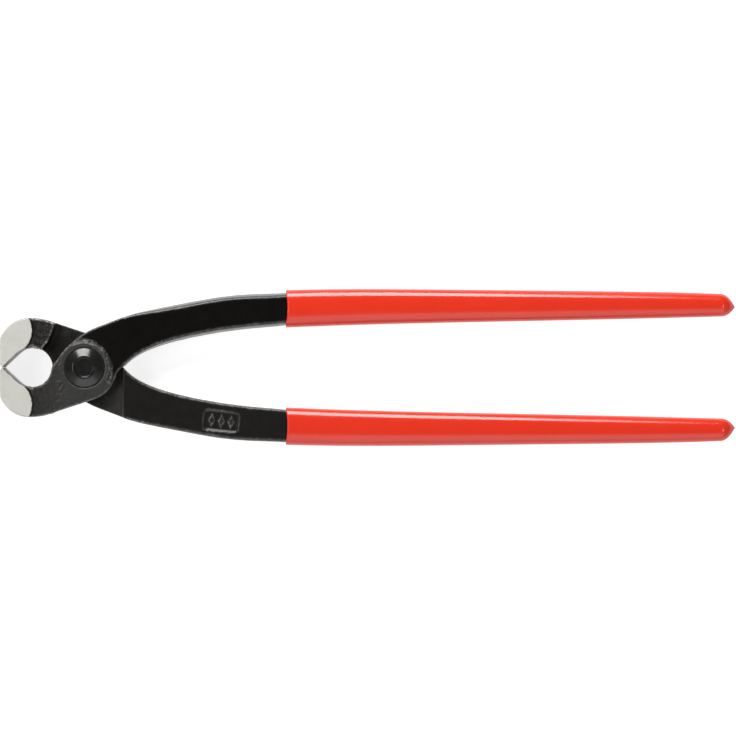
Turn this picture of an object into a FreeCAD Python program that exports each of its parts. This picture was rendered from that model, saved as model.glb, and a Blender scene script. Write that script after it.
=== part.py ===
"""Fencing pliers: long-handled lap-joint pincers, 280 mm from the jaws to the ends of the dipped grips.

Two identical forged levers cross at a riveted lap joint. The second lever is the first one turned half a turn
about X. Each carries one jaw, one half-thickness lap and one handle with a dipped sleeve on it.

Frame: +X runs from the pivot to the handle ends, +Y is across the tool in its own plane and +Z is the pivot
axis. Z = 0 is the plane of the rear ground jaw sides and of the rivet's formed head, and the origin is where
the pivot axis meets it. Levers and sleeves are drawn about the joint's middle plane and then lifted by half
the jaw's breadth. Millimetres and degrees.
"""

import FreeCAD, Part

import math
import os
import re

import Sketcher
from FreeCAD import Placement, Rotation, Vector

DRIVING_SIZES = {
    # jaw, in the plane of the tool
    "jaw_breadth": 20.0,  # along the pivot axis, over the two ground sides
    "tip_reach": 32.0,  # pivot axis to the blunt front of the jaws
    "edge_reach": 31.2,  # pivot axis to the cutting edges
    "edge_bevel": 0.95,  # height of the small bevel outside each cutting edge
    "jaw_gap": 0.1,  # light gap between the closed cutting edges
    "chin_depth": 18.85,  # tool axis to the outside of a jaw
    "front_break": 11.2,  # tool axis to the lower end of the blunt front
    "front_break_round": 2.0,
    "cheek_reach": 28.1,  # corner between the outside of the jaw and its front
    "cheek_round": 12.0,
    "chin_reach": 17.0,  # corner where the outside of the jaw turns back to the joint
    "chin_round": 22.0,
    "throat_reach": 20.1,  # pivot axis to the middle of the round throat
    "throat_radius": 7.55,
    # jaw, across the tool
    "facet_height": 0.6,  # step from the ground side down to the forged skin
    "facet_centre_x": 29.6,  # the rounded back edge of the ground side
    "facet_centre_y": 14.1,
    "facet_radius": 9.9,
    "facet_top_y": 6.5,
    "facet_foot_y": 19.9,
    "flare_start": 19.5,  # where the jaw starts to thin towards the joint
    "flare_end": 8.5,  # where it has the thickness of the joint
    # lap joint
    "lap_thickness": 6.5,  # one lever at the joint
    "lap_play": 0.05,  # each lap face stands this far off the middle plane
    "boss_corner_x": 10.03,  # corner rounded by the outside of the lap
    "boss_corner_y": 9.96,
    "boss_radius": 12.5,
    "crotch_x": 12.8,  # corner between the lap and the inside of the handle
    "crotch_y": 0.86,
    "crotch_radius": 4.6,
    "shoulder_x": 4.29,  # corner between the throat and the outside of the handle
    "shoulder_y": 12.03,
    "shoulder_radius": 32.0,
    "step_top_x": 16.9,  # wall between the full jaw and the lap, both ends clear of the metal
    "step_top_y": 6.2,
    "step_foot_x": 11.3,
    "step_foot_y": 18.0,
    "step_radius": 20.0,
    "step_foot_round": 2.2,  # hollow between that wall and the lap
    "collar_radius": 9.7,  # raised round collar under the rivet head
    "collar_height": 0.7,
    "collar_from": -30.0,  # its step runs between these two directions from the pivot
    "collar_to": 120.0,
    "seat_radius": 7.95,  # spot-faced seat of the rivet head
    "seat_depth": 0.4,
    "parting_share": 0.22,  # of its thickness, from the middle of the arm back to the parting line
    "parting_round": 0.6,
    "back_edge": 0.4,  # radius of the back face's inner long edge
    "back_share": 0.3,  # of the draft, at the back face
    # rivet
    "shank_radius": 4.5,
    "running_play": 0.05,
    "head_radius": 7.45,
    "head_rim": 0.7,
    "head_flat": 4.35,
    "head_height": 2.5,
    "dish_radius": 3.95,
    "dish_floor": 3.3,
    "dish_depth": 0.75,
    "tail_radius": 7.2,
    "tail_rim": 0.7,
    "tail_flat": 4.6,
    # size panel on the side of the handle
    "panel_x": 52.1,
    "panel_y": 20.5,
    "panel_angle": 6.5,
    "panel_length": 11.9,
    "panel_width": 6.2,
    "panel_round": 0.9,
    "panel_floor": 3.8,  # middle plane to the floor of the panel
    "panel_slope": 55.0,  # how far its walls lean outwards
    "panel_cutter": 1.2,
    "mark_relief": 0.35,
    "mark_length": 4.9,
    "mark_width": 2.6,
    "mark_pitch": 3.7,
    "cutter_reach": 40.0,  # generous length for cuts that run out into the air
}

# Stations along a limb: distance from the pivot, height of its middle over the tool axis, width, thickness
# and radius of its long edges. A forged station also has its draft, which is how far the edges of the front
# face stand in from the parting line. The arm curves from its root behind the lap to the mouth of the sleeve,
# and the shank runs on almost straight inside the sleeve.
ARM_STATIONS = {
    "root": (14.6, 9.66, 19.1, 11.6, 0.6, 0.1),
    "neck": (24.0, 14.20, 15.4, 10.2, 1.0, 0.6),
    "bow": (36.0, 17.30, 14.0, 9.4, 1.2, 1.0),
    "bend": (49.0, 19.80, 13.7, 8.9, 1.2, 1.0),
    "panel": (62.0, 21.35, 13.3, 8.5, 1.2, 1.0),
    "mouth": (76.0, 22.30, 12.6, 8.2, 1.2, 1.0),
}
SHANK_STATIONS = {
    "mouth": ARM_STATIONS["mouth"],
    "palm": (131.0, 23.30, 10.8, 7.5, 1.2, 0.8),
    "slim": (187.0, 23.70, 9.0, 6.8, 1.2, 0.6),
    "end": (242.0, 23.80, 7.0, 6.0, 1.1, 0.4),
}
FORGED_FIELDS = ("reach", "middle", "width", "thickness", "edge", "draft")

# the outside of the dipped sleeve, from its mouth to its rounded nose
SLEEVE_STATIONS = {
    "mouth": (76.6, 22.40, 14.4, 10.4, 3.4),
    "palm": (118.0, 23.30, 13.4, 10.0, 3.7),
    "middle": (159.5, 23.55, 12.1, 9.5, 3.8),
    "slim": (201.0, 23.75, 10.8, 9.0, 3.8),
    "end": (242.5, 23.80, 8.8, 8.2, 3.7),
}
NOSE_STATIONS = {
    "start": SLEEVE_STATIONS["end"],
    "round": (244.4, 23.65, 7.7, 7.2, 3.3),
    "taper": (246.3, 23.35, 6.1, 5.7, 2.7),
    "point": (248.2, 23.00, 1.6, 1.6, 0.7),
}
DIPPED_FIELDS = ("reach", "middle", "width", "thickness", "edge")


def station_cells(prefix, stations, fields):
    return {
        f"{prefix}_{name}_{field}": value
        for name, row in stations.items()
        for field, value in zip(fields, row)
    }


CELLS = {
    **DRIVING_SIZES,
    **station_cells("arm", ARM_STATIONS, FORGED_FIELDS),
    **station_cells("shank", SHANK_STATIONS, FORGED_FIELDS),
    **station_cells("sleeve", SLEEVE_STATIONS, DIPPED_FIELDS),
    **station_cells("nose", NOSE_STATIONS, DIPPED_FIELDS),
}

doc = FreeCAD.newDocument("FencingPliers")
sizes = doc.addObject("Spreadsheet::Sheet", "Sizes")
for row_number, (alias, value) in enumerate(CELLS.items(), start=1):
    sizes.set(f"A{row_number}", alias)
    sizes.set(f"B{row_number}", str(value))
    sizes.setAlias(f"B{row_number}", alias)
doc.recompute()


def bound(text):
    """An expression in the sheet's aliases, as the document's other objects read it."""
    return re.sub(r"[a-z][a-z_]+", lambda word: f"Sizes.{word[0]}" if word[0] in CELLS else word[0], text)


def number(text):
    """The present value of such an expression."""
    value = sizes.evalExpression(bound(text))
    return float(getattr(value, "Value", value))


# ------------------------------------------------------------------------------------------------ sketches


def new_sketch(body, name, role, offset="0"):
    """An empty sketch on one of the body's origin planes, moved along its normal by an expression."""
    sketch = body.newObject("Sketcher::SketchObject", name)
    plane = next(feature for feature in body.Origin.OriginFeatures if feature.Role == role)
    sketch.AttachmentSupport = [(plane, "")]
    sketch.MapMode = "FlatFace"
    sketch.setExpression("AttachmentOffset.Base.z", bound(offset))
    return sketch


def constrain(sketch, kind, *where, to):
    index = sketch.addConstraint(Sketcher.Constraint(kind, *where, number(to)))
    sketch.setExpression(f"Constraints[{index}]", bound(to))


def pin_point(sketch, geometry, end, x, y):
    constrain(sketch, "DistanceX", -1, 1, geometry, end, to=x)
    constrain(sketch, "DistanceY", -1, 1, geometry, end, to=y)


def unit(vector):
    return vector * (1.0 / vector.Length)


def bowed_run(first, last, radius):
    """An arc from first to last. A positive radius bows it to the right of that direction."""
    chord = last - first
    right = unit(Vector(chord.y, -chord.x, 0))
    rise = abs(radius) - math.sqrt(radius**2 - (chord.Length / 2) ** 2)
    crest = (first + last) * 0.5 + right * math.copysign(rise, radius)
    return Part.Arc(first, crest, last)


def outline(sketch, corners, bows=None):
    """A closed outline through corners, taken in order.

    A corner is (x, y, radius) in expressions, and a radius of None leaves it sharp. bows names the runs that
    are arcs: number of the run's first corner to its radius, positive for an arc to the right of the run.
    """
    bows = bows or {}
    points = [Vector(number(x), number(y), 0) for x, y, _ in corners]
    count = len(points)
    ends, starts, rounds = list(points), list(points), {}
    for i, (_, _, radius) in enumerate(corners):
        if radius is None:
            continue
        back = unit(points[i - 1] - points[i])
        ahead = unit(points[(i + 1) % count] - points[i])
        half = back.getAngle(ahead) / 2
        size = number(radius)
        inward = unit(back + ahead)
        ends[i] = points[i] + back * (size / math.tan(half))
        starts[i] = points[i] + ahead * (size / math.tan(half))
        crest = points[i] + inward * (size / math.sin(half) - size)
        rounds[i] = Part.Arc(ends[i], crest, starts[i])

    runs = []
    for i in range(count):
        first, last = starts[i], ends[(i + 1) % count]
        curve = bowed_run(first, last, number(bows[i])) if i in bows else Part.LineSegment(first, last)
        run = sketch.addGeometry(curve)
        forward = sketch.getPoint(run, 1).distanceToPoint(first) < 1e-4
        runs.append((run, 1 if forward else 2, 2 if forward else 1))
        if i in bows:
            constrain(sketch, "Radius", run, to=f"abs({bows[i]})")

    for i, (x, y, radius) in enumerate(corners):
        before, _, before_end = runs[i - 1]
        after, after_start, _ = runs[i]
        if radius is None:
            sketch.addConstraint(Sketcher.Constraint("Coincident", before, before_end, after, after_start))
            pin_point(sketch, after, after_start, x, y)
            continue
        arc = sketch.addGeometry(rounds[i])
        forward = sketch.getPoint(arc, 1).distanceToPoint(ends[i]) < 1e-4
        arc_start, arc_end = (1, 2) if forward else (2, 1)
        sketch.addConstraint(Sketcher.Constraint("Tangent", before, before_end, arc, arc_start))
        sketch.addConstraint(Sketcher.Constraint("Tangent", after, after_start, arc, arc_end))
        constrain(sketch, "Radius", arc, to=radius)
        corner = sketch.addGeometry(Part.Point(points[i]), True)
        pin_point(sketch, corner, 1, x, y)
        sketch.addConstraint(Sketcher.Constraint("PointOnObject", corner, 1, before))
        sketch.addConstraint(Sketcher.Constraint("PointOnObject", corner, 1, after))
    return sketch


def circle(sketch, radius, x="0", y="0"):
    centre = Vector(number(x), number(y), 0)
    ring = sketch.addGeometry(Part.Circle(centre, Vector(0, 0, 1), number(radius)))
    constrain(sketch, "Radius", ring, to=radius)
    pin_point(sketch, ring, 3, x, y)
    return sketch


def forged_section(body, name, station):
    """A forging's section: flat faces, rounded edges and sides that lean out to a parting line."""
    low, high = f"{station}_middle - {station}_width / 2", f"{station}_middle + {station}_width / 2"
    back, front = f"0 - {station}_thickness / 2", f"{station}_thickness / 2"
    parting = f"0 - {station}_thickness * parting_share"
    draft, back_draft, edge = f"{station}_draft", f"{station}_draft * back_share", f"{station}_edge"
    corners = [
        (f"{low} + {back_draft}", back, "back_edge"),
        (f"{high} - {back_draft}", back, edge),
        (high, parting, "parting_round"),
        (f"{high} - {draft}", front, edge),
        (f"{low} + {draft}", front, edge),
        (low, parting, "parting_round"),
    ]
    return outline(new_sketch(body, name, "YZ_Plane", f"{station}_reach"), corners)


def dipped_section(body, name, station):
    """The sleeve's section: a rectangle with well rounded corners."""
    low, high = f"{station}_middle - {station}_width / 2", f"{station}_middle + {station}_width / 2"
    back, front = f"0 - {station}_thickness / 2", f"{station}_thickness / 2"
    edge = f"{station}_edge"
    corners = [(low, back, edge), (high, back, edge), (high, front, edge), (low, front, edge)]
    return outline(new_sketch(body, name, "YZ_Plane", f"{station}_reach"), corners)


# ------------------------------------------------------------------------------------------------ features


def feature(body, kind, name, sketch, **settings):
    """A feature on a sketch. A text setting is an expression in the sheet's aliases, except for its type."""
    made = body.newObject(f"PartDesign::{kind}", name)
    made.Profile = sketch
    for setting, value in settings.items():
        if isinstance(value, str) and setting != "Type":
            made.setExpression(setting, bound(value))
        else:
            setattr(made, setting, value)
    sketch.Visibility = False
    return made


def cut(body, name, sketch, **settings):
    """A pocket, with a test that it took material away."""
    doc.recompute()
    before = body.Shape.Volume
    made = feature(body, "Pocket", name, sketch, **settings)
    doc.recompute()
    if body.Shape.Volume > before - 1e-3:
        raise RuntimeError(f"{name} cuts nothing")
    return made


def station_loft(body, kind, name, draw_section, prefix, stations):
    sections = [draw_section(body, f"{name}{station.title()}", f"{prefix}_{station}") for station in stations]
    return feature(body, kind, name, sections[0], Sections=sections[1:], Ruled=False, Closed=False)


def jaw_and_lap(body):
    """The flat blank of jaw and lap, at the breadth of the jaw, with its throat."""
    blank = outline(
        new_sketch(body, "Blank", "XY_Plane"),
        [
            ("0 - tip_reach", "0 - edge_bevel - jaw_gap / 2", None),
            ("0 - tip_reach", "0 - front_break", "front_break_round"),
            ("0 - cheek_reach", "0 - chin_depth", "cheek_round"),
            ("0 - chin_reach", "0 - chin_depth", "chin_round"),
            ("boss_corner_x", "0 - boss_corner_y", "boss_radius"),
            ("crotch_x", "0 - crotch_y", "crotch_radius"),
            ("arm_root_reach", "arm_root_middle - arm_root_width / 2", None),
            ("arm_root_reach", "arm_root_middle + arm_root_width / 2", None),
            ("0 - shoulder_x", "shoulder_y", "shoulder_radius"),
            ("throat_radius - throat_reach", "0 - jaw_gap / 2", None),
            ("0 - edge_reach", "0 - jaw_gap / 2", None),
        ],
    )
    feature(body, "Pad", "JawAndLap", blank, Length="jaw_breadth", Midplane=True)

    throat = circle(new_sketch(body, "ThroatRound", "XY_Plane"), "throat_radius", "0 - throat_reach")
    cut(body, "Throat", throat, Type="ThroughAll", Midplane=True)
    # the two flats that run from the round throat to the cutting edge are tangents of the round
    lean = "asin(throat_radius / (edge_reach - throat_reach))"
    touch_x = f"0 - throat_reach - throat_radius * sin({lean})"
    touch_y = f"0 - throat_radius * cos({lean})"
    wedge = outline(
        new_sketch(body, "ThroatWedge", "XY_Plane"),
        [("0 - edge_reach", "0", None), (touch_x, touch_y, None), ("0 - throat_reach", "0", None)],
    )
    cut(body, "ThroatFlat", wedge, Type="ThroughAll", Midplane=True)


def jaw_sides(body):
    """Each side of the jaw: the step behind the ground facet and the flare down to the joint."""
    # both ends of the facet's back edge are clear of the metal, in the throat and outside the chin
    top, foot = (
        (f"sqrt(facet_radius ^ 2 - ({end} - facet_centre_y) ^ 2) - facet_centre_x", f"0 - {end}", None)
        for end in ("facet_top_y", "facet_foot_y")
    )
    for side, sign in (("Front", ""), ("Rear", "0 - ")):
        skin = outline(
            new_sketch(body, f"{side}Skin", "XY_Plane", f"{sign}(jaw_breadth / 2 - facet_height)"),
            [
                top,
                foot,
                ("cutter_reach", "0 - facet_foot_y", None),
                ("cutter_reach", "cutter_reach", None),
                ("0 - chin_reach", "cutter_reach", None),
            ],
            bows={0: "0 - facet_radius"},
        )
        cut(body, f"{side}Step", skin, Length="2 * facet_height", Reversed=side == "Front")

    flare_radius = (
        "((flare_start - flare_end) ^ 2 + (jaw_breadth / 2 - facet_height - lap_thickness) ^ 2)"
        " / (2 * (jaw_breadth / 2 - facet_height - lap_thickness))"
    )
    for side, sign, bow in (("Front", "", flare_radius), ("Rear", "0 - ", f"0 - {flare_radius}")):
        flare = outline(
            new_sketch(body, f"{side}FlareProfile", "XZ_Plane"),
            [
                ("0 - flare_start", f"{sign}(jaw_breadth / 2 - facet_height)", None),
                ("0 - flare_end", f"{sign}lap_thickness", None),
                ("cutter_reach", f"{sign}lap_thickness", None),
                ("cutter_reach", f"{sign}jaw_breadth", None),
                ("0 - flare_start", f"{sign}jaw_breadth", None),
            ],
            bows={0: bow},
        )
        cut(body, f"{side}Flare", flare, Type="ThroughAll", Midplane=True)


def lap_joint(body, bore_radius):
    """The half-thickness lap, its raised collar with the rivet's seat, and the bore."""
    lap = outline(
        new_sketch(body, "LapOutline", "XY_Plane", "lap_play"),
        [
            ("0 - step_top_x", "0 - step_top_y", None),
            ("0 - step_foot_x", "0 - step_foot_y", None),
            ("arm_root_reach", "0 - step_foot_y", None),
            ("arm_root_reach", "cutter_reach", None),
            ("0 - step_top_x", "cutter_reach", None),
        ],
        bows={0: "0 - step_radius"},
    )
    cut(body, "Lap", lap, Length="jaw_breadth")

    foot = [
        f"Edge{count}"
        for count, edge in enumerate(body.Shape.Edges, start=1)
        if isinstance(edge.Curve, Part.Circle)
        and math.isclose(edge.Curve.Radius, number("step_radius"), abs_tol=1e-3)
        and math.isclose(edge.BoundBox.ZMin, number("lap_play"), abs_tol=1e-3)
        and math.isclose(edge.BoundBox.ZMax, number("lap_play"), abs_tol=1e-3)
    ]
    walled = body.Tip
    fillet = body.newObject("PartDesign::Fillet", "StepFoot")
    fillet.Base = (walled, foot)
    fillet.setExpression("Radius", bound("step_foot_round"))

    around = outline(
        new_sketch(body, "CollarSurround", "XY_Plane", "lap_thickness - collar_height"),
        [
            ("collar_radius * cos(collar_to * 1deg)", "collar_radius * sin(collar_to * 1deg)", None),
            ("collar_radius * cos(collar_from * 1deg)", "collar_radius * sin(collar_from * 1deg)", None),
            ("cutter_reach * cos(collar_from * 1deg)", "cutter_reach * sin(collar_from * 1deg)", None),
            ("cutter_reach", "cutter_reach", None),
            ("collar_radius * cos(collar_to * 1deg)", "cutter_reach", None),
        ],
        bows={0: "0 - collar_radius"},
    )
    cut(body, "Collar", around, Length="jaw_breadth", Reversed=True)

    seat = circle(new_sketch(body, "SeatCircle", "XY_Plane", "lap_thickness - seat_depth"), "seat_radius")
    cut(body, "Seat", seat, Length="jaw_breadth", Reversed=True)
    bore = circle(new_sketch(body, "BoreCircle", "XY_Plane"), bore_radius)
    cut(body, "Bore", bore, Type="ThroughAll", Midplane=True)


def size_panel(body):
    """The sunk panel on the handle's side, with three raised lozenges."""

    def panel_sketch(name):
        sketch = new_sketch(body, name, "XY_Plane", "0 - panel_floor")
        sketch.setExpression("AttachmentOffset.Base.x", bound("panel_x"))
        sketch.setExpression("AttachmentOffset.Base.y", bound("panel_y"))
        sketch.setExpression("AttachmentOffset.Rotation.Angle", bound("panel_angle"))
        return sketch

    right, top = "panel_length / 2", "panel_width / 2"
    corners = [(f"0 - {right}", f"0 - {top}"), (right, f"0 - {top}"), (right, top), (f"0 - {right}", top)]
    recess = outline(panel_sketch("PanelOutline"), [(x, y, "panel_round") for x, y in corners])
    cut(body, "Panel", recess, Length="panel_cutter", TaperAngle="panel_slope")

    marks = panel_sketch("Lozenges")
    for place in ("0 - mark_pitch", "0", "mark_pitch"):
        outline(
            marks,
            [
                (place, "0 - mark_length / 2", None),
                (f"{place} + mark_width / 2", "0", None),
                (place, "mark_length / 2", None),
                (f"{place} - mark_width / 2", "0", None),
            ],
        )
    feature(body, "Pad", "Marks", marks, Length="mark_relief", Reversed=True)


def lever(label, bore_radius):
    body = doc.addObject("PartDesign::Body", label)
    jaw_and_lap(body)
    jaw_sides(body)
    lap_joint(body, bore_radius)
    station_loft(body, "AdditiveLoft", "Arm", forged_section, "arm", ARM_STATIONS)
    station_loft(body, "AdditiveLoft", "Shank", forged_section, "shank", SHANK_STATIONS)
    size_panel(body)
    return body


def dipped_sleeve(label):
    """A dipped sleeve, hollowed by the stations of the shank that it covers."""
    body = doc.addObject("PartDesign::Body", label)
    station_loft(body, "AdditiveLoft", "Coat", dipped_section, "sleeve", SLEEVE_STATIONS)
    station_loft(body, "AdditiveLoft", "Nose", dipped_section, "nose", NOSE_STATIONS)
    station_loft(body, "SubtractiveLoft", "Hollow", forged_section, "shank", SHANK_STATIONS)
    return body


def pivot_rivet(label):
    """The rivet, turned about the pivot axis from its formed head at Z = 0 to its dished head."""
    body = doc.addObject("PartDesign::Body", label)
    tail_seat = "(jaw_breadth / 2 - lap_thickness + seat_depth)"
    head_seat = "(jaw_breadth / 2 + lap_thickness - seat_depth + running_play)"
    top = f"{head_seat} + head_height"
    profile = outline(
        new_sketch(body, "RivetProfile", "XZ_Plane"),
        [
            ("0", "0", None),
            ("tail_flat", "0", None),
            ("tail_radius", f"{tail_seat} - tail_rim", None),
            ("tail_radius", tail_seat, None),
            ("shank_radius", tail_seat, None),
            ("shank_radius", head_seat, None),
            ("head_radius", head_seat, None),
            ("head_radius", f"{head_seat} + head_rim", None),
            ("head_flat", top, None),
            ("dish_radius", top, None),
            ("dish_floor", f"{top} - dish_depth", None),
            ("0", f"{top} - dish_depth", None),
        ],
    )
    axis = next(feature for feature in body.Origin.OriginFeatures if feature.Role == "Z_Axis")
    feature(body, "Revolution", "Rivet", profile, ReferenceAxis=(axis, [""]), Angle=360.0)
    return body


# ---------------------------------------------------------------------------------------------- assembly


def place(body, turned):
    """Lift a body drawn about the middle plane, first turned half a turn about X if it is a rear one."""
    body.Placement = Placement(Vector(0, 0, 0), Rotation(Vector(1, 0, 0), 180 if turned else 0))
    body.setExpression("Placement.Base.z", bound("jaw_breadth / 2"))


pieces = [
    lever("front_lever", "shank_radius + running_play"),
    lever("rear_lever", "shank_radius"),
    dipped_sleeve("upper_grip"),
    dipped_sleeve("lower_grip"),
]
for piece in pieces:
    place(piece, turned=piece.Label in ("rear_lever", "lower_grip"))
pieces.append(pivot_rivet("pivot_rivet"))
doc.recompute()

for item in doc.Objects:
    if {"Invalid", "Error"} & set(item.State):
        raise RuntimeError(f"{item.Label} failed: {item.State}")

os.makedirs("parts", exist_ok=True)
for piece in pieces:
    if piece.Shape.isNull() or not piece.Shape.isValid():
        raise RuntimeError(f"{piece.Label} has no valid shape")
    piece.Shape.exportStep(os.path.join("parts", f"{piece.Label}.step"))
    box = piece.Shape.BoundBox
    print(
        f"{piece.Label}: {len(piece.Shape.Solids)} solid, {piece.Shape.Volume:.0f} mm3,"
        f" X {box.XMin:.2f} to {box.XMax:.2f}, Y {box.YMin:.2f} to {box.YMax:.2f},"
        f" Z {box.ZMin:.2f} to {box.ZMax:.2f}"
    )
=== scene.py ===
import math

import bpy
import numpy as np
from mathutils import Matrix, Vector, noise
from mathutils.bvhtree import BVHTree


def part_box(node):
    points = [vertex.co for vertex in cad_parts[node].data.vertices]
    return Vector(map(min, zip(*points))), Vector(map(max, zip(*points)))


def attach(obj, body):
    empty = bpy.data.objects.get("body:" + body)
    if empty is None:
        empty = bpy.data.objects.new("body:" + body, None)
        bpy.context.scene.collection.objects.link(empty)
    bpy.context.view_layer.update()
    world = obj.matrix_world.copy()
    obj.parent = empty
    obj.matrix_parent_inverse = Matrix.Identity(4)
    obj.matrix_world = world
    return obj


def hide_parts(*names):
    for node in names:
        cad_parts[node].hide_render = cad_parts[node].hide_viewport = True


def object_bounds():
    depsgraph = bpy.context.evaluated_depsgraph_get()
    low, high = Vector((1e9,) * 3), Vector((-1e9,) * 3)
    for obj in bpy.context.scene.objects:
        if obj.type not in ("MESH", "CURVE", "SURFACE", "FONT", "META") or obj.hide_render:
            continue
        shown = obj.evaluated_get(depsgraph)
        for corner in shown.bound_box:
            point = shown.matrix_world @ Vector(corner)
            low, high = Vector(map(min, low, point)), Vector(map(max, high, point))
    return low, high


# Looks of a pair of long-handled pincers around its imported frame: two black forged levers with bright ground
# jaw sides, a riveted lap joint and two red dipped sleeves. Lengths are in metres unless a name says mm.
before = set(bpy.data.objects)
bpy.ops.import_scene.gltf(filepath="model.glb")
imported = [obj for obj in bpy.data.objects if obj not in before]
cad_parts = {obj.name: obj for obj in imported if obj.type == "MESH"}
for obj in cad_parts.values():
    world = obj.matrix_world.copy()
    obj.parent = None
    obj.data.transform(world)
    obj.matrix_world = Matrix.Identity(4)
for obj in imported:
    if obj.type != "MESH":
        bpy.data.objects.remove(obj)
cad_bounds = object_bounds()

MM = 0.001
JAW_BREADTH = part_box("front_lever")[1].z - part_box("front_lever")[0].z
MID_PLANE_MM = JAW_BREADTH / MM / 2
BOX_MARGIN = 1e-6  # a visual mesh stays this far inside the box of its CAD node

# the forging, in its own frame: millimetres, lap on top, pivot at the origin and the middle plane at zero
FORGED_VOXEL = 0.25 * MM
LAP_END_MM = 14.6  # the lap's flat turns into the handle here
LAP_FACE_MM = 6.5
EDGE_SETBACK_MM = 0.8  # the cutting edge is this far behind the front of the jaw
EDGE_GAP_MM = 0.05  # and stays this far short of the other one
EDGE_PULL_MM = 0.18
FACET_CENTRE_MM = (2.4, 4.75)  # in from the front of the jaw and from its outside
FACET_RADIUS_MM = 9.9
FACET_TOP_MM = -6.5  # above this the back edge of the ground side runs straight up into the throat
COLLAR_RADIUS_MM = 9.5
COLLAR_FLARE_MM = 1.5  # how much further out the collar is at its two ends
COLLAR_FROM, COLLAR_TO = math.radians(-28), math.radians(104)
PATCH_REACH_MM = 8.4  # the rough patch behind the other ground side ends this far from the pivot
STEP_HALF_MM = 0.4  # the satin lap fades out over twice this at its end
PANEL_CENTRE_MM = (52.1, 20.5)
PANEL_HALF_MM = (6.9, 4.0)
PANEL_MARGIN_MM = 0.6
PANEL_TILT = math.radians(6.5)
SLEEVE_MOUTH_MM = 76.0

FORGED_FACES = 150_000
ROUNDING_PASSES = 12
SHARP_ANGLE = math.radians(32)

# sleeves
SLEEVE_RINGS = 150
SLEEVE_SIDES = 72
SLEEVE_SAMPLES = 14
FIT_DEGREE = 4
NOSE_RINGS = 20
NOSE_LENGTH = 6.3 * MM
NOSE_DROOP = 0.8 * MM  # the point lies this far towards the other sleeve
UPPER_POWER = (3.3, 2.6)  # superellipse powers of the section's upper half, at the mouth and at the nose
LOWER_POWER = (2.5, 2.3)
MOUTH_BOW = 0.7 * MM
MOUTH_FADE = 6 * MM
MOUTH_LIP = 0.4 * MM
MOUTH_DEPTH = 9 * MM
LIP_RINGS = 8

# rivet
RIVET_SEGMENTS = 128
RIVET_SPACING_MM = 0.3
CORNER_STEPS = 6
SHANK_RADIUS_MM = 4.45
HEAD_HEIGHT_MM = 2.5
FORMED_RADIUS_MM = 7.2  # the formed head behind
FORMED_HEIGHT_MM = 3.85
DISH_RADIUS_MM = 3.95
RIVET_WAVES_MM = 0.04

# studio
CAMERA_DISTANCE = 2.0
CAMERA_SHIFT = (-0.1 * MM, -0.2 * MM)
FRAMING = 1.0035  # width of the picture over the length of the tool
FLOOR_HALF = 12.0
FLOOR_GLOW = 0.83
SURROUND_RISE = [(0.01, 1.0), (0.08, 0.25), (0.5, 0.06), (1.0, 0.025)]  # by height, as (place, level)
SURROUND_GLOW = [(0.10, 0.0), (0.40, 0.30), (0.75, 0.70)]  # towards -Y


# ---------------------------------------------------------------------------------------------- mesh helpers
def new_piece(name, mesh):
    piece = bpy.data.objects.new(name, mesh)
    bpy.context.scene.collection.objects.link(piece)
    return piece


def apply_modifiers(piece):
    """Puts the evaluated mesh in place of the piece's mesh and its modifiers."""
    made = bpy.data.meshes.new_from_object(piece.evaluated_get(bpy.context.evaluated_depsgraph_get()))
    before = piece.data
    piece.modifiers.clear()
    piece.data = made
    bpy.data.meshes.remove(before)


def positions(mesh):
    co = np.empty(len(mesh.vertices) * 3, np.float32)
    mesh.vertices.foreach_get("co", co)
    return co.reshape(-1, 3).astype(float)


def normals(mesh):
    found = np.empty(len(mesh.vertices) * 3, np.float32)
    mesh.vertices.foreach_get("normal", found)
    return found.reshape(-1, 3).astype(float)


def set_positions(mesh, co):
    mesh.vertices.foreach_set("co", co.astype(np.float32).ravel())
    mesh.update()


def edge_ends(mesh):
    ends = np.empty(len(mesh.edges) * 2, np.int32)
    mesh.edges.foreach_get("vertices", ends)
    return ends.reshape(-1, 2)


def neighbour_mean(co, ends):
    """For each vertex, the mean place of the vertices it shares an edge with."""
    start, end = ends[:, 0], ends[:, 1]
    count = np.bincount(start, minlength=len(co)) + np.bincount(end, minlength=len(co))
    total = np.stack([
        np.bincount(start, co[end, axis], len(co)) + np.bincount(end, co[start, axis], len(co))
        for axis in range(co.shape[1])
    ], axis=1)
    return total / np.maximum(count, 1)[:, None]


def relax(co, ends, share, passes):
    """Rounds the mesh off where share is above zero."""
    for _ in range(passes):
        co = co + 0.5 * share[:, None] * (neighbour_mean(co, ends) - co)
    return co


def convexity(co, ends, facing):
    """Near 1 on rounded outside edges and near 0 on flat or hollow ground."""
    stands_out = ((co - neighbour_mean(co, ends)) * facing).sum(1) / MM
    return relax(ramp(stands_out, 0.003, 0.012)[:, None], ends, np.ones(len(co)), 2)[:, 0]


def ramp(value, low, high):
    """0 at low, 1 at high and smooth between them; low may be the larger one."""
    t = np.clip((value - low) / (high - low), 0, 1)
    return t * t * (3 - 2 * t)


def clouds(points, size, octaves, seed):
    """Smooth noise of about -1 to 1 whose lumps are about size across, in the points' own unit."""
    shift = Vector((17.3, 5.9, 11.1)) * seed
    return np.array([noise.fractal(Vector(p) / size + shift, 1.0, 2.0, octaves) for p in points])


def keep_inside(mesh, node):
    """Pulls stray points back to the box of the CAD node that the mesh stands for."""
    low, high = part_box(node)
    set_positions(mesh, np.clip(positions(mesh), np.array(low) + BOX_MARGIN, np.array(high) - BOX_MARGIN))


def store(mesh, name, values):
    mesh.attributes.new(name, "FLOAT", "POINT").data.foreach_set("value", values.astype(np.float32))


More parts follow.
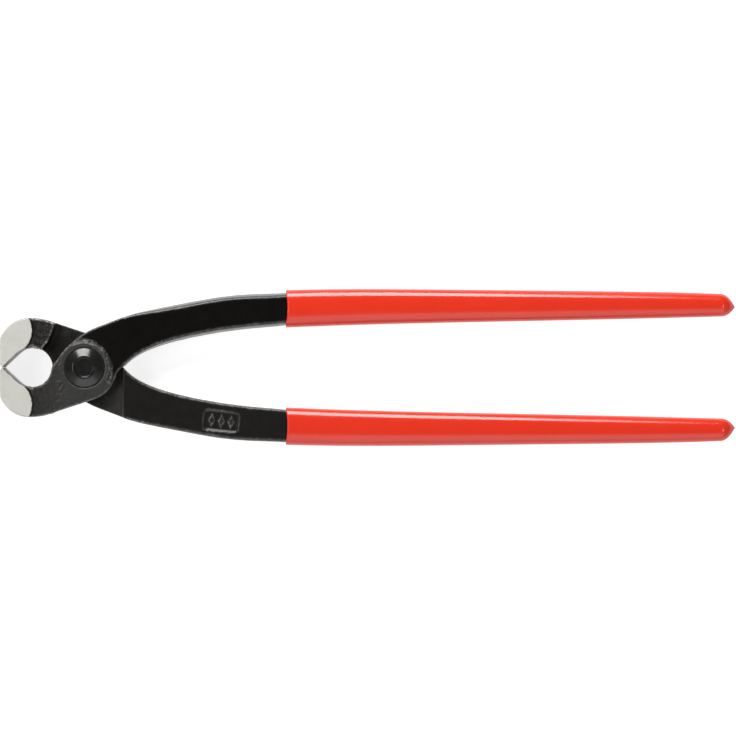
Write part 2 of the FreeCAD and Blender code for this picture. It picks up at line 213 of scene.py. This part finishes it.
# ------------------------------------------------------------------------------------------- shader helpers
class Finish:
    """A material under construction: short calls that add a node, wire it and give back its output."""

    def __init__(self, name):
        self.material = bpy.data.materials.new(name)
        self.material.use_nodes = True
        self.tree = self.material.node_tree
        self.shader = self.tree.nodes["Principled BSDF"]
        texture = self.add("ShaderNodeTexCoord")
        self.place, self.normal = texture.outputs["Object"], texture.outputs["Normal"]

    def add(self, kind, **settings):
        node = self.tree.nodes.new(kind)
        for name, value in settings.items():
            setattr(node, name, value)
        return node

    def wire(self, value, socket):
        if isinstance(value, bpy.types.NodeSocket):
            self.tree.links.new(value, socket)
        else:
            socket.default_value = value

    def attribute(self, name):
        return self.add("ShaderNodeAttribute", attribute_name=name).outputs["Fac"]

    def stretched(self, scale):
        node = self.add("ShaderNodeMapping")
        self.wire(self.place, node.inputs["Vector"])
        self.wire(scale, node.inputs["Scale"])
        return node.outputs["Vector"]

    def facing(self, axis):
        """The surface's own normal along one axis of the object."""
        split = self.add("ShaderNodeSeparateXYZ")
        self.wire(self.normal, split.inputs[0])
        return split.outputs[axis]

    def noise(self, size, detail=3.0, rough=0.5, place=None):
        node = self.add("ShaderNodeTexNoise")
        self.wire(place or self.place, node.inputs["Vector"])
        self.wire(1 / size, node.inputs["Scale"])
        self.wire(detail, node.inputs["Detail"])
        self.wire(rough, node.inputs["Roughness"])
        return node.outputs["Fac"]

    def math(self, operation, first, second=0.0):
        node = self.add("ShaderNodeMath", operation=operation)
        self.wire(first, node.inputs[0])
        self.wire(second, node.inputs[1])
        return node.outputs[0]

    def between(self, value, low, high, to_low=0.0, to_high=1.0):
        node = self.add("ShaderNodeMapRange", interpolation_type="SMOOTHSTEP")
        for socket, amount in zip(node.inputs, (value, low, high, to_low, to_high)):
            self.wire(amount, socket)
        return node.outputs["Result"]

    def mix(self, share, first, second):
        node = self.add("ShaderNodeMix", data_type="RGBA")
        self.wire(share, node.inputs[0])
        self.wire(first, node.inputs[6])
        self.wire(second, node.inputs[7])
        return node.outputs[2]

    def blend(self, share, first, second):
        node = self.add("ShaderNodeMix", data_type="FLOAT")
        self.wire(share, node.inputs[0])
        self.wire(first, node.inputs[2])
        self.wire(second, node.inputs[3])
        return node.outputs[0]

    def bump(self, height, distance, under=None):
        node = self.add("ShaderNodeBump")
        self.wire(distance, node.inputs["Distance"])
        self.wire(height, node.inputs["Height"])
        if under is not None:
            self.wire(under, node.inputs["Normal"])
        return node.outputs["Normal"]

    def set(self, **sockets):
        for name, value in sockets.items():
            self.wire(value, self.shader.inputs[name.replace("_", " ")])
        return self.material


def grey(level, warm=0.0):
    return (level * (1 + warm), level, level * (1 - warm), 1.0)


# ---------------------------------------------------------------------------------------------- materials
def forged_and_ground(name, skin_level, skin_rough):
    """Black forged skin, satin on the machined lap, with bright ground steel on the jaw sides."""
    steel = Finish(name)
    satin = steel.attribute("satin")
    rough = steel.attribute("patch")
    side_on = steel.between(steel.math("ABSOLUTE", steel.facing("Z")), 0.80, 0.92)
    head_on = steel.between(steel.facing("X"), -0.45, -0.65)
    inside_mm = steel.attribute("ground_mm")
    ground = steel.between(inside_mm, -0.06, 0.06)
    ground = steel.math("MULTIPLY", ground, steel.math("MAXIMUM", side_on, head_on))
    # a thin band just outside the ground sides is painted near-black: a painted shadow line where the ground
    # flats step down to the skin
    painted_step_shadow = steel.between(inside_mm, -1.0, -0.35)

    mottle = steel.noise(3.5 * MM, 4.0, 0.6)
    grain = steel.noise(0.32 * MM, 3.0, 0.65)
    pits = steel.noise(1.1 * MM, 4.0, 0.7)
    skin = steel.mix(mottle, grey(0.7 * skin_level, 0.15), grey(1.3 * skin_level, 0.12))
    satin_skin = steel.mix(mottle, grey(0.006, 0.08), grey(0.013, 0.08))
    specks = steel.math("MULTIPLY", steel.between(pits, 0.52, 0.60), steel.between(mottle, 0.46, 0.58))
    satin_skin = steel.mix(specks, satin_skin, grey(0.003, 0.05))
    black = steel.mix(satin, skin, satin_skin)
    black = steel.mix(rough, black, steel.mix(pits, grey(0.003, 0.20), grey(0.014, 0.18)))
    black = steel.mix(painted_step_shadow, black, grey(0.002, 0.05))
    edge = steel.attribute("edge")
    # rounded edges are painted lighter grey: partly real wear of the black skin, partly a painted highlight
    # where light catches them; lighter still on the rough patch's rim
    wear_and_edge_highlight = steel.math("MULTIPLY", edge, steel.between(pits, 0.40, 0.58, 0.05, 0.85))
    wear_and_edge_highlight = steel.math("MULTIPLY", wear_and_edge_highlight, steel.between(mottle, 0.35, 0.65, 0.35, 1.0))
    black = steel.mix(wear_and_edge_highlight, black, steel.mix(rough, grey(0.15, 0.03), grey(0.50, 0.04)))

    streaks = steel.noise(0.16 * MM, 4.0, 0.6, steel.stretched((1.0, 0.08, 1.0)))
    clouding = steel.noise(9.0 * MM, 2.0, 0.5)
    bright = steel.mix(streaks, (0.49, 0.485, 0.445, 1.0), (0.59, 0.585, 0.54, 1.0))
    bright = steel.mix(steel.between(clouding, 0.40, 0.70, 0.0, 0.3), bright, (0.40, 0.395, 0.375, 1.0))

    skin_roughness = steel.blend(mottle, 0.85 * skin_rough, 1.15 * skin_rough)
    satin_roughness = steel.blend(grain, 0.36, 0.50)
    black_roughness = steel.blend(satin, skin_roughness, satin_roughness)
    black_roughness = steel.blend(rough, black_roughness, 0.30)
    bright_roughness = steel.blend(streaks, 0.50, 0.64)

    glossy = steel.math("MULTIPLY", satin, steel.math("SUBTRACT", 1.0, painted_step_shadow))
    dull = steel.math("MULTIPLY", side_on, steel.math("SUBTRACT", 1.0, steel.math("MAXIMUM", glossy, edge)))
    skin_height = steel.math("MULTIPLY", grain, steel.math("SUBTRACT", 1.0, ground))
    pitted = steel.bump(skin_height, 0.02 * MM)
    pocked = steel.bump(steel.math("MULTIPLY", pits, satin), 0.09 * MM, under=pitted)
    scratched = steel.bump(steel.math("MULTIPLY", streaks, ground), 0.012 * MM, under=pocked)
    return steel.set(
        Base_Color=steel.mix(ground, black, bright),
        Metallic=ground,
        Specular_IOR_Level=steel.blend(dull, 0.5, 0.12),
        Roughness=steel.blend(ground, black_roughness, bright_roughness),
        Normal=scratched,
    )


def blackened_rivet():
    """Smooth black oxide, glossier than the forgings."""
    steel = Finish("blackened_rivet_steel")
    mottle = steel.noise(2.0 * MM, 4.0, 0.6)
    grain = steel.noise(0.25 * MM, 3.0, 0.6)
    return steel.set(
        Base_Color=steel.mix(mottle, grey(0.005, 0.05), grey(0.010, 0.05)),
        Roughness=steel.blend(mottle, 0.19, 0.25),
        Normal=steel.bump(grain, 0.008 * MM),
    )


def dipped_vinyl():
    """Thick glossy red coat with the slow waviness of a dipped skin."""
    vinyl = Finish("dipped_red_vinyl")
    depth = vinyl.noise(9.0 * MM, 2.0, 0.5)
    orange_peel = vinyl.noise(0.9 * MM, 2.0, 0.45)
    bloom = vinyl.noise(30.0 * MM, 3.0, 0.5)
    red = vinyl.mix(depth, (0.565, 0.025, 0.011, 1.0), (0.605, 0.032, 0.014, 1.0))
    return vinyl.set(
        Base_Color=red,
        Roughness=vinyl.between(bloom, 0.3, 0.7, 0.12, 0.18),
        Normal=vinyl.bump(orange_peel, 0.003 * MM),
    )


def pale_floor_paint():
    paint = Finish("pale_floor_paint")
    tone = paint.noise(0.4, 2.0)
    return paint.set(
        Base_Color=paint.mix(tone, grey(0.35), grey(0.37)),
        Roughness=0.9,
        Emission_Color=grey(1.0),
        Emission_Strength=FLOOR_GLOW,
    )


# ------------------------------------------------------------------------------------------------- levers
def own_frame(co, turned):
    """Positions in millimetres in the forging's own frame. The rear lever is the front one turned over."""
    own = co / MM
    own[:, 2] -= MID_PLANE_MM
    if turned:
        own[:, 1:] *= -1
    return own


def forged_zones(own, box_low):
    """What each point of a forging belongs to, as shares from 0 to 1, and its depth into the ground side.

    The ramps run between two distances in millimetres, and between two angles in radians for the collar.
    """
    x, y, z = own.T
    centre_x, centre_y = box_low[0] + FACET_CENTRE_MM[0], box_low[1] + FACET_CENTRE_MM[1]
    level = np.clip(y, centre_y - 0.9 * FACET_RADIUS_MM, FACET_TOP_MM)
    ground_mm = centre_x + np.sqrt(FACET_RADIUS_MM ** 2 - (level - centre_y) ** 2) - x
    crisp_sides = ramp(ground_mm, -0.35, -0.05)
    mating = ramp(np.abs(z), 0.9, 0.35) * ramp(x, LAP_END_MM + 1.5, LAP_END_MM)
    cutting = ramp(np.abs(y), 3.0, 1.5) * ramp(x, box_low[0] + 10, box_low[0] + 8)
    sheathed = ramp(x, SLEEVE_MOUTH_MM + 2, SLEEVE_MOUTH_MM + 6)
    radius, angle = np.hypot(x, y), np.arctan2(y, x)
    round_collar = ramp(angle, COLLAR_FROM - 0.2, COLLAR_FROM + 0.2)
    round_collar = round_collar * ramp(angle, COLLAR_TO + 0.2, COLLAR_TO - 0.2)
    middle = (COLLAR_FROM + COLLAR_TO) / 2
    flare = COLLAR_FLARE_MM * ((angle - middle) / (COLLAR_TO - middle)) ** 2
    outside = radius - COLLAR_RADIUS_MM - flare
    before_step = ramp(x, LAP_END_MM + STEP_HALF_MM, LAP_END_MM - STEP_HALF_MM)
    satin = before_step * ramp(np.abs(z), 2.2, 3.2) * (1 - ramp(outside, 0.2, 0.9) * round_collar * (z > 0))
    satin = np.maximum(satin, 0.7 * ramp(x, 2.0, 6.0) * before_step * (z < 1))
    collar = ramp(np.abs(outside), 1.1, 0.3) * round_collar * (z > LAP_FACE_MM - 1.2)
    patch = ramp(radius, PATCH_REACH_MM - 0.5, PATCH_REACH_MM + 0.5) * (x < 0) * (z < -LAP_FACE_MM + 1.5)
    c, s = math.cos(PANEL_TILT), math.sin(PANEL_TILT)
    along = c * (x - PANEL_CENTRE_MM[0]) + s * (y - PANEL_CENTRE_MM[1])
    across = c * (y - PANEL_CENTRE_MM[1]) - s * (x - PANEL_CENTRE_MM[0])
    in_panel = (np.abs(along) < PANEL_HALF_MM[0] + PANEL_MARGIN_MM) & (z < 0)
    in_panel &= np.abs(across) < PANEL_HALF_MM[1] + PANEL_MARGIN_MM
    return {
        "ground_mm": ground_mm,
        "crisp": np.maximum.reduce([0.75 * crisp_sides, mating, cutting]),
        "sheathed": sheathed,
        "satin": satin,
        "collar": collar,
        "step": ramp(np.abs(x - LAP_END_MM), 1.8, 0.9) * (z < 0),
        "patch": patch * (1 - crisp_sides),
        "cheek": satin * ramp(x, -6.0, -9.0) * (1 - crisp_sides) * (z > 0),
        "panel": in_panel.astype(float),
    }


def close_cutting_edge(co, turned):
    """Brings back the sharp cutting edge, which meshing takes a little off."""
    own = own_frame(co, turned)
    away = np.hypot(own[:, 0] - own[:, 0].min() - EDGE_SETBACK_MM, own[:, 1])
    room = np.maximum(-own[:, 1] - EDGE_GAP_MM, 0)
    pull = np.minimum(EDGE_PULL_MM * ramp(away, 1.0, 0.2), room) * MM
    moved = co.copy()
    moved[:, 1] += -pull if turned else pull
    return moved


def forged_lever(name, node, turned, body, material):
    """The lever with rounded forged edges, an uneven skin and a bumpy collar. Its mating faces stay true."""
    piece = new_piece(name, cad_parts[node].data.copy())
    piece.data.materials.clear()
    skin = piece.modifiers.new("skin", "REMESH")
    skin.mode = "VOXEL"
    skin.voxel_size = FORGED_VOXEL
    apply_modifiers(piece)

    mesh = piece.data
    co = positions(mesh)
    own = own_frame(co, turned)
    zones = forged_zones(own, own.min(0))
    free = 1 - zones["crisp"]
    ends = edge_ends(mesh)
    share = free * (1 - 0.93 * zones["panel"]) * (1 - 0.35 * zones["collar"])
    co = close_cutting_edge(relax(co, ends, share, ROUNDING_PASSES), turned)
    set_positions(mesh, co)
    edge = convexity(co, ends, normals(mesh)) * (1 - 0.6 * zones["crisp"]) * (1 - 0.9 * zones["step"])

    rough = free * (1 - 0.8 * zones["panel"]) * (1 - zones["sheathed"])
    lumps = 0.045 * clouds(own, size=5.0, octaves=2, seed=1)
    lumps = lumps + 0.018 * clouds(own, size=1.1, octaves=2, seed=2)
    crumbs = 0.52 * zones["collar"] * clouds(own, size=1.3, octaves=3, seed=3)
    crumbs = crumbs + 0.26 * zones["patch"] * clouds(own, size=1.8, octaves=2, seed=4)
    crumbs = crumbs + 0.13 * zones["cheek"] * clouds(own, size=1.2, octaves=3, seed=5)
    height = (rough * lumps + free * crumbs) * MM
    set_positions(mesh, co + normals(mesh) * height[:, None])
    # the edge mask is raised on the bumpy collar, so it is painted lighter there: partly rubbed wear, partly a
    # painted highlight on the bumps
    store(mesh, "edge", np.maximum(edge, 0.45 * zones["collar"]))

    thin = piece.modifiers.new("thin", "DECIMATE")
    thin.ratio = FORGED_FACES / (2 * len(mesh.polygons))
    apply_modifiers(piece)

    mesh = piece.data
    keep_inside(mesh, node)
    own = own_frame(positions(mesh), turned)
    zones = forged_zones(own, own.min(0))
    for zone in ("ground_mm", "satin", "patch"):
        store(mesh, zone, zones[zone])
    piece = finish_piece(piece, material, body, node)
    mesh.set_sharp_from_angle(angle=SHARP_ANGLE)
    return piece


def finish_piece(piece, material, body, node):
    """Gives a new piece its material and its body, and hides the CAD node it stands for."""
    piece.data.materials.clear()
    piece.data.materials.append(material)
    piece.data.shade_smooth()
    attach(piece, body)
    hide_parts(node)
    return piece


# ------------------------------------------------------------------------------------------------ sleeves
def ray_reach(tree, origin, direction):
    """How far the outermost surface lies from origin in a direction."""
    far = Vector(origin) + Vector(direction) * 0.1
    hit = tree.ray_cast(far, -Vector(direction))
    return (hit[0] - Vector(origin)).dot(Vector(direction))


def sleeve_extents(node, reaches):
    """The sleeve's lowest and highest Y and its half depth in Z at each reach, smoothed along its length."""
    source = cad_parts[node].data
    tree = BVHTree.FromPolygons([v.co for v in source.vertices], [p.vertices for p in source.polygons])
    low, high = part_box(node)
    middle = (low + high) / 2
    samples = np.linspace(low.x + 3 * MM, high.x - NOSE_LENGTH - 1 * MM, SLEEVE_SAMPLES)
    rows = []
    for x in samples:
        centre = (x, middle.y, middle.z)
        above, below = ray_reach(tree, centre, (0, 1, 0)), ray_reach(tree, centre, (0, -1, 0))
        own_middle = (x, middle.y + (above - below) / 2, middle.z)
        rows.append((middle.y + above, middle.y - below, ray_reach(tree, own_middle, (0, 0, 1))))
    fits = [np.polyfit(samples, column, FIT_DEGREE) for column in np.array(rows).T]
    return [np.polyval(fit, reaches) for fit in fits], middle.z


def superellipse(angles, power):
    c, s = np.cos(angles), np.sin(angles)
    return np.sign(c) * np.abs(c) ** (2 / power), np.sign(s) * np.abs(s) ** (2 / power)


def dipped_sleeve(name, node, body, material):
    """Rings of a section that is flatter on its upper half, from the mouth to the nose."""
    low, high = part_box(node)
    nose_start = high.x - NOSE_LENGTH
    barrel = np.linspace(low.x + MOUTH_LIP, nose_start, SLEEVE_RINGS)
    t = np.linspace(0, 1, NOSE_RINGS + 2)[1:-1] ** 0.8
    reaches = np.concatenate([barrel, nose_start + t * NOSE_LENGTH])
    (top, bottom, depth), middle_z = sleeve_extents(node, np.minimum(reaches, nose_start))
    shrink = np.ones(len(reaches))
    shrink[SLEEVE_RINGS:] = 1 - t ** 2.6
    droop = np.zeros(len(reaches))
    droop[SLEEVE_RINGS:] = t ** 2 * NOSE_DROOP * (-1 if (low.y + high.y) > 0 else 1)
    angles = np.linspace(0, 2 * math.pi, SLEEVE_SIDES, endpoint=False)
    along = np.minimum((reaches - reaches[0]) / (nose_start - reaches[0]), 1)
    upper, lower = np.interp(along, (0, 1), UPPER_POWER), np.interp(along, (0, 1), LOWER_POWER)
    rows = []
    for i, x in enumerate(reaches):
        u, v = superellipse(angles, np.where(np.cos(angles) > 0, upper[i], lower[i]))
        mid_y = (top[i] + bottom[i]) / 2 + droop[i]
        y = mid_y + u * (top[i] - bottom[i]) / 2 * shrink[i]
        z = middle_z + v * depth[i] * shrink[i]
        rows.append(np.stack([np.full_like(y, x), y, z], 1))
    mesh = bpy.data.meshes.new(name)
    mesh.from_pydata(*closed_sleeve(rows, angles, high.x))
    mesh.validate()
    keep_inside(mesh, node)
    return finish_piece(new_piece(name, mesh), material, body, node)


def closed_sleeve(rows, angles, nose_x):
    """Vertices, edges and faces of the rings, closed with a rounded lip, a short bore and a pointed nose."""
    face_on = np.abs(np.sin(angles)) ** 4
    first = rows[0]
    centre = first.mean(0)
    fade = [max(0.0, 1 - (row[0, 0] - first[0, 0]) / MOUTH_FADE) ** 2 for row in rows]
    for row, amount in zip(rows, fade):
        row[:, 0] += MOUTH_BOW * face_on * amount
    lip = []
    for turn in np.linspace(0, math.pi, LIP_RINGS + 1)[1:]:
        inward = MOUTH_LIP * (1 - math.cos(turn)) * 0.9
        back = MOUTH_LIP * math.sin(turn)
        ring = rows[0].copy()
        spoke = ring[:, 1:] - centre[1:]
        length = np.linalg.norm(spoke, axis=1, keepdims=True)
        ring[:, 1:] -= spoke / length * inward
        ring[:, 0] -= back
        lip.append(ring)
    bore = lip[-1].copy()
    spoke = bore[:, 1:] - centre[1:]
    bore[:, 1:] = centre[1:] + spoke * 0.98
    bore[:, 0] += MOUTH_DEPTH
    rings = [bore] + lip[::-1] + rows
    verts = [tuple(p) for ring in rings for p in ring]
    sides = len(angles)
    faces = []
    for r in range(len(rings) - 1):
        for k in range(sides):
            a, b = r * sides + k, r * sides + (k + 1) % sides
            faces.append((a, a + sides, b + sides, b))
    tip = len(verts)
    verts.append((nose_x, rows[-1][:, 1].mean(), rows[-1][:, 2].mean()))
    last = (len(rings) - 1) * sides
    faces += [(last + k, tip, last + (k + 1) % sides) for k in range(sides)]
    inside = len(verts)
    verts.append((bore[:, 0].mean(), bore[:, 1].mean(), bore[:, 2].mean()))
    faces += [(inside, k, (k + 1) % sides) for k in range(sides)]
    return verts, [], faces


# -------------------------------------------------------------------------------------------------- rivet
def rounded_profile(corners):
    """A profile of (radius, height) corners in millimetres, each with the radius it is rounded to."""
    points = []
    for i, (r, z, size) in enumerate(corners):
        here = Vector((r, z))
        if size == 0:
            points.append(here)
            continue
        before = Vector(corners[i - 1][:2]) - here
        after = Vector(corners[i + 1][:2]) - here
        reach = size / math.tan(before.angle(after) / 2)
        reach = min(reach, 0.48 * before.length, 0.48 * after.length)
        a, b = here + before.normalized() * reach, here + after.normalized() * reach
        for k in range(CORNER_STEPS + 1):
            t = k / CORNER_STEPS
            points.append((1 - t) ** 2 * a + 2 * t * (1 - t) * here + t ** 2 * b)
    spaced = points[:1]
    for point in points[1:]:
        parts = math.ceil((point - spaced[-1]).length / RIVET_SPACING_MM)
        spaced += [spaced[-1].lerp(point, k / parts) for k in range(1, parts)] + [point]
    return spaced


def turned_mesh(name, profile):
    """A solid of revolution about the pivot axis. The profile starts and ends on the axis."""
    verts, faces = [], []
    rings = profile[1:-1]
    for point in rings:
        for k in range(RIVET_SEGMENTS):
            turn = 2 * math.pi * k / RIVET_SEGMENTS
            verts.append((point.x * math.cos(turn) * MM, point.x * math.sin(turn) * MM, point.y * MM))
    for r in range(len(rings) - 1):
        for k in range(RIVET_SEGMENTS):
            a, b = r * RIVET_SEGMENTS + k, r * RIVET_SEGMENTS + (k + 1) % RIVET_SEGMENTS
            faces.append((a, a + RIVET_SEGMENTS, b + RIVET_SEGMENTS, b))
    first, last = len(verts), len(verts) + 1
    verts += [(0, 0, profile[0].y * MM), (0, 0, profile[-1].y * MM)]
    end = (len(rings) - 1) * RIVET_SEGMENTS
    faces += [(first, k, (k + 1) % RIVET_SEGMENTS) for k in range(RIVET_SEGMENTS)]
    faces += [(last, end + (k + 1) % RIVET_SEGMENTS, end + k) for k in range(RIVET_SEGMENTS)]
    mesh = bpy.data.meshes.new(name)
    mesh.from_pydata(verts, [], faces)
    return mesh


def pivot_rivet(name, node, body, material):
    """Upset head with a punched dish on top, a plain formed head below."""
    low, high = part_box(node)
    foot, top = low.z / MM, high.z / MM
    outer = high.x / MM
    seat, formed = top - HEAD_HEIGHT_MM, foot + FORMED_HEIGHT_MM
    corners = [
        (0, foot, 0),
        (4.6, foot, 1.6),
        (FORMED_RADIUS_MM, foot + 2.9, 0.8),
        (FORMED_RADIUS_MM, formed, 0.1),
        (SHANK_RADIUS_MM, formed, 0.1),
        (SHANK_RADIUS_MM, seat, 0.1),
        (outer, seat, 0.1),
        (outer, seat + 0.75, 0.4),
        (6.0, top - 0.92, 2.0),
        (4.45, top, 2.2),
        (DISH_RADIUS_MM, top, 0.12),
        (3.5, top - 0.75, 0.3),
        (0, top - 0.85, 0),
    ]
    mesh = turned_mesh(name, rounded_profile(corners))
    co = positions(mesh)
    waves = clouds(co / MM, size=3.0, octaves=2, seed=5) * RIVET_WAVES_MM * MM
    set_positions(mesh, co + normals(mesh) * np.minimum(waves, 0)[:, None])
    keep_inside(mesh, node)
    return finish_piece(new_piece(name, mesh), material, body, node)


# ------------------------------------------------------------------------------------------------- studio
def camera_above():
    """Looks straight down on the tool, from far away, with the handles to the right."""
    low, high = cad_bounds
    data = bpy.data.cameras.new("camera")
    data.sensor_width = 36.0
    data.lens = data.sensor_width * CAMERA_DISTANCE / ((high.x - low.x) * FRAMING)
    data.clip_start, data.clip_end = 0.05, 30.0
    camera = bpy.data.objects.new("camera", data)
    middle = (low + high) / 2
    camera.location = middle + Vector((*CAMERA_SHIFT, CAMERA_DISTANCE))
    bpy.context.scene.collection.objects.link(camera)
    bpy.context.scene.camera = camera


def softbox(name, azimuth, elevation, distance, width, height, radiance):
    """A soft panel that faces the tool. Azimuth is the side it stands on, from +X towards +Y, in degrees."""
    low, high = cad_bounds
    centre = (low + high) / 2
    a, e = math.radians(azimuth), math.radians(elevation)
    away = Vector((math.cos(a) * math.cos(e), math.sin(a) * math.cos(e), math.sin(e)))
    data = bpy.data.lights.new(name, "AREA")
    data.shape = "RECTANGLE"
    data.size, data.size_y = width, height
    data.energy = radiance * 4 * width * height
    light = bpy.data.objects.new(name, data)
    light.location = centre + away * distance
    light.rotation_mode = "QUATERNION"
    light.rotation_quaternion = away.to_track_quat("Z", "Y")
    bpy.context.scene.collection.objects.link(light)


def studio_surround():
    """A dim room, white near the floor and lighter on the side that the key doesn't reach."""
    world = bpy.data.worlds.new("studio")
    world.use_nodes = True
    nodes, links = world.node_tree.nodes, world.node_tree.links
    place = nodes.new("ShaderNodeTexCoord")
    split = nodes.new("ShaderNodeSeparateXYZ")
    links.new(place.outputs["Generated"], split.inputs[0])
    rise = surround_ramp(world, split.outputs["Z"], SURROUND_RISE)
    away = nodes.new("ShaderNodeMath")
    away.operation = "MULTIPLY"
    away.inputs[1].default_value = -1.0
    links.new(split.outputs["Y"], away.inputs[0])
    glow = surround_ramp(world, away.outputs[0], SURROUND_GLOW)
    both = nodes.new("ShaderNodeMix")
    both.data_type, both.blend_type = "RGBA", "ADD"
    both.inputs[0].default_value = 1.0
    links.new(rise, both.inputs[6])
    links.new(glow, both.inputs[7])
    links.new(both.outputs[2], nodes["Background"].inputs["Color"])
    bpy.context.scene.world = world


def surround_ramp(world, direction, stops):
    """Grey levels along one direction of the surround, as (place, level) pairs."""
    fall = world.node_tree.nodes.new("ShaderNodeValToRGB")
    ring = fall.color_ramp
    ring.interpolation = "EASE"
    for element, (place, level) in zip(ring.elements, (stops[0], stops[-1])):
        element.position, element.color = place, grey(level)
    for place, level in stops[1:-1]:
        ring.elements.new(place).color = grey(level)
    world.node_tree.links.new(direction, fall.inputs["Fac"])
    return fall.outputs["Color"]


def pale_floor():
    z = cad_bounds[0].z
    corners = [(x * FLOOR_HALF, y * FLOOR_HALF, z) for x, y in ((-1, -1), (1, -1), (1, 1), (-1, 1))]
    mesh = bpy.data.meshes.new("floor")
    mesh.from_pydata(corners, [], [(0, 1, 2, 3)])
    mesh.materials.append(pale_floor_paint())
    new_piece("floor", mesh)


# ------------------------------------------------------------------------------------------------- scene
vinyl = dipped_vinyl()
rivet_steel = blackened_rivet()

camera_above()
studio_surround()
softbox("key", azimuth=103, elevation=38, distance=1.6, width=0.95, height=0.95, radiance=11.0)
softbox("left_edge", azimuth=180, elevation=58, distance=1.6, width=0.5, height=0.22, radiance=10.0)
softbox("right_edge", azimuth=350, elevation=60, distance=1.6, width=0.3, height=0.16, radiance=6.0)
softbox("fill", azimuth=270, elevation=42, distance=1.8, width=2.2, height=1.6, radiance=0.7)
pale_floor()
bpy.context.scene.view_settings.view_transform = "Standard"

front_steel = forged_and_ground("front_lever_steel", 0.003, 0.28)
rear_steel = forged_and_ground("rear_lever_steel", 0.008, 0.32)
forged_lever("front_lever_forged", "front_lever", False, "front_lever_body", front_steel)
forged_lever("rear_lever_forged", "rear_lever", True, "rear_lever_body", rear_steel)
dipped_sleeve("upper_grip_dipped", "upper_grip", "front_lever_body", vinyl)
dipped_sleeve("lower_grip_dipped", "lower_grip", "rear_lever_body", vinyl)
pivot_rivet("pivot_rivet_turned", "pivot_rivet", "rear_lever_body", rivet_steel)
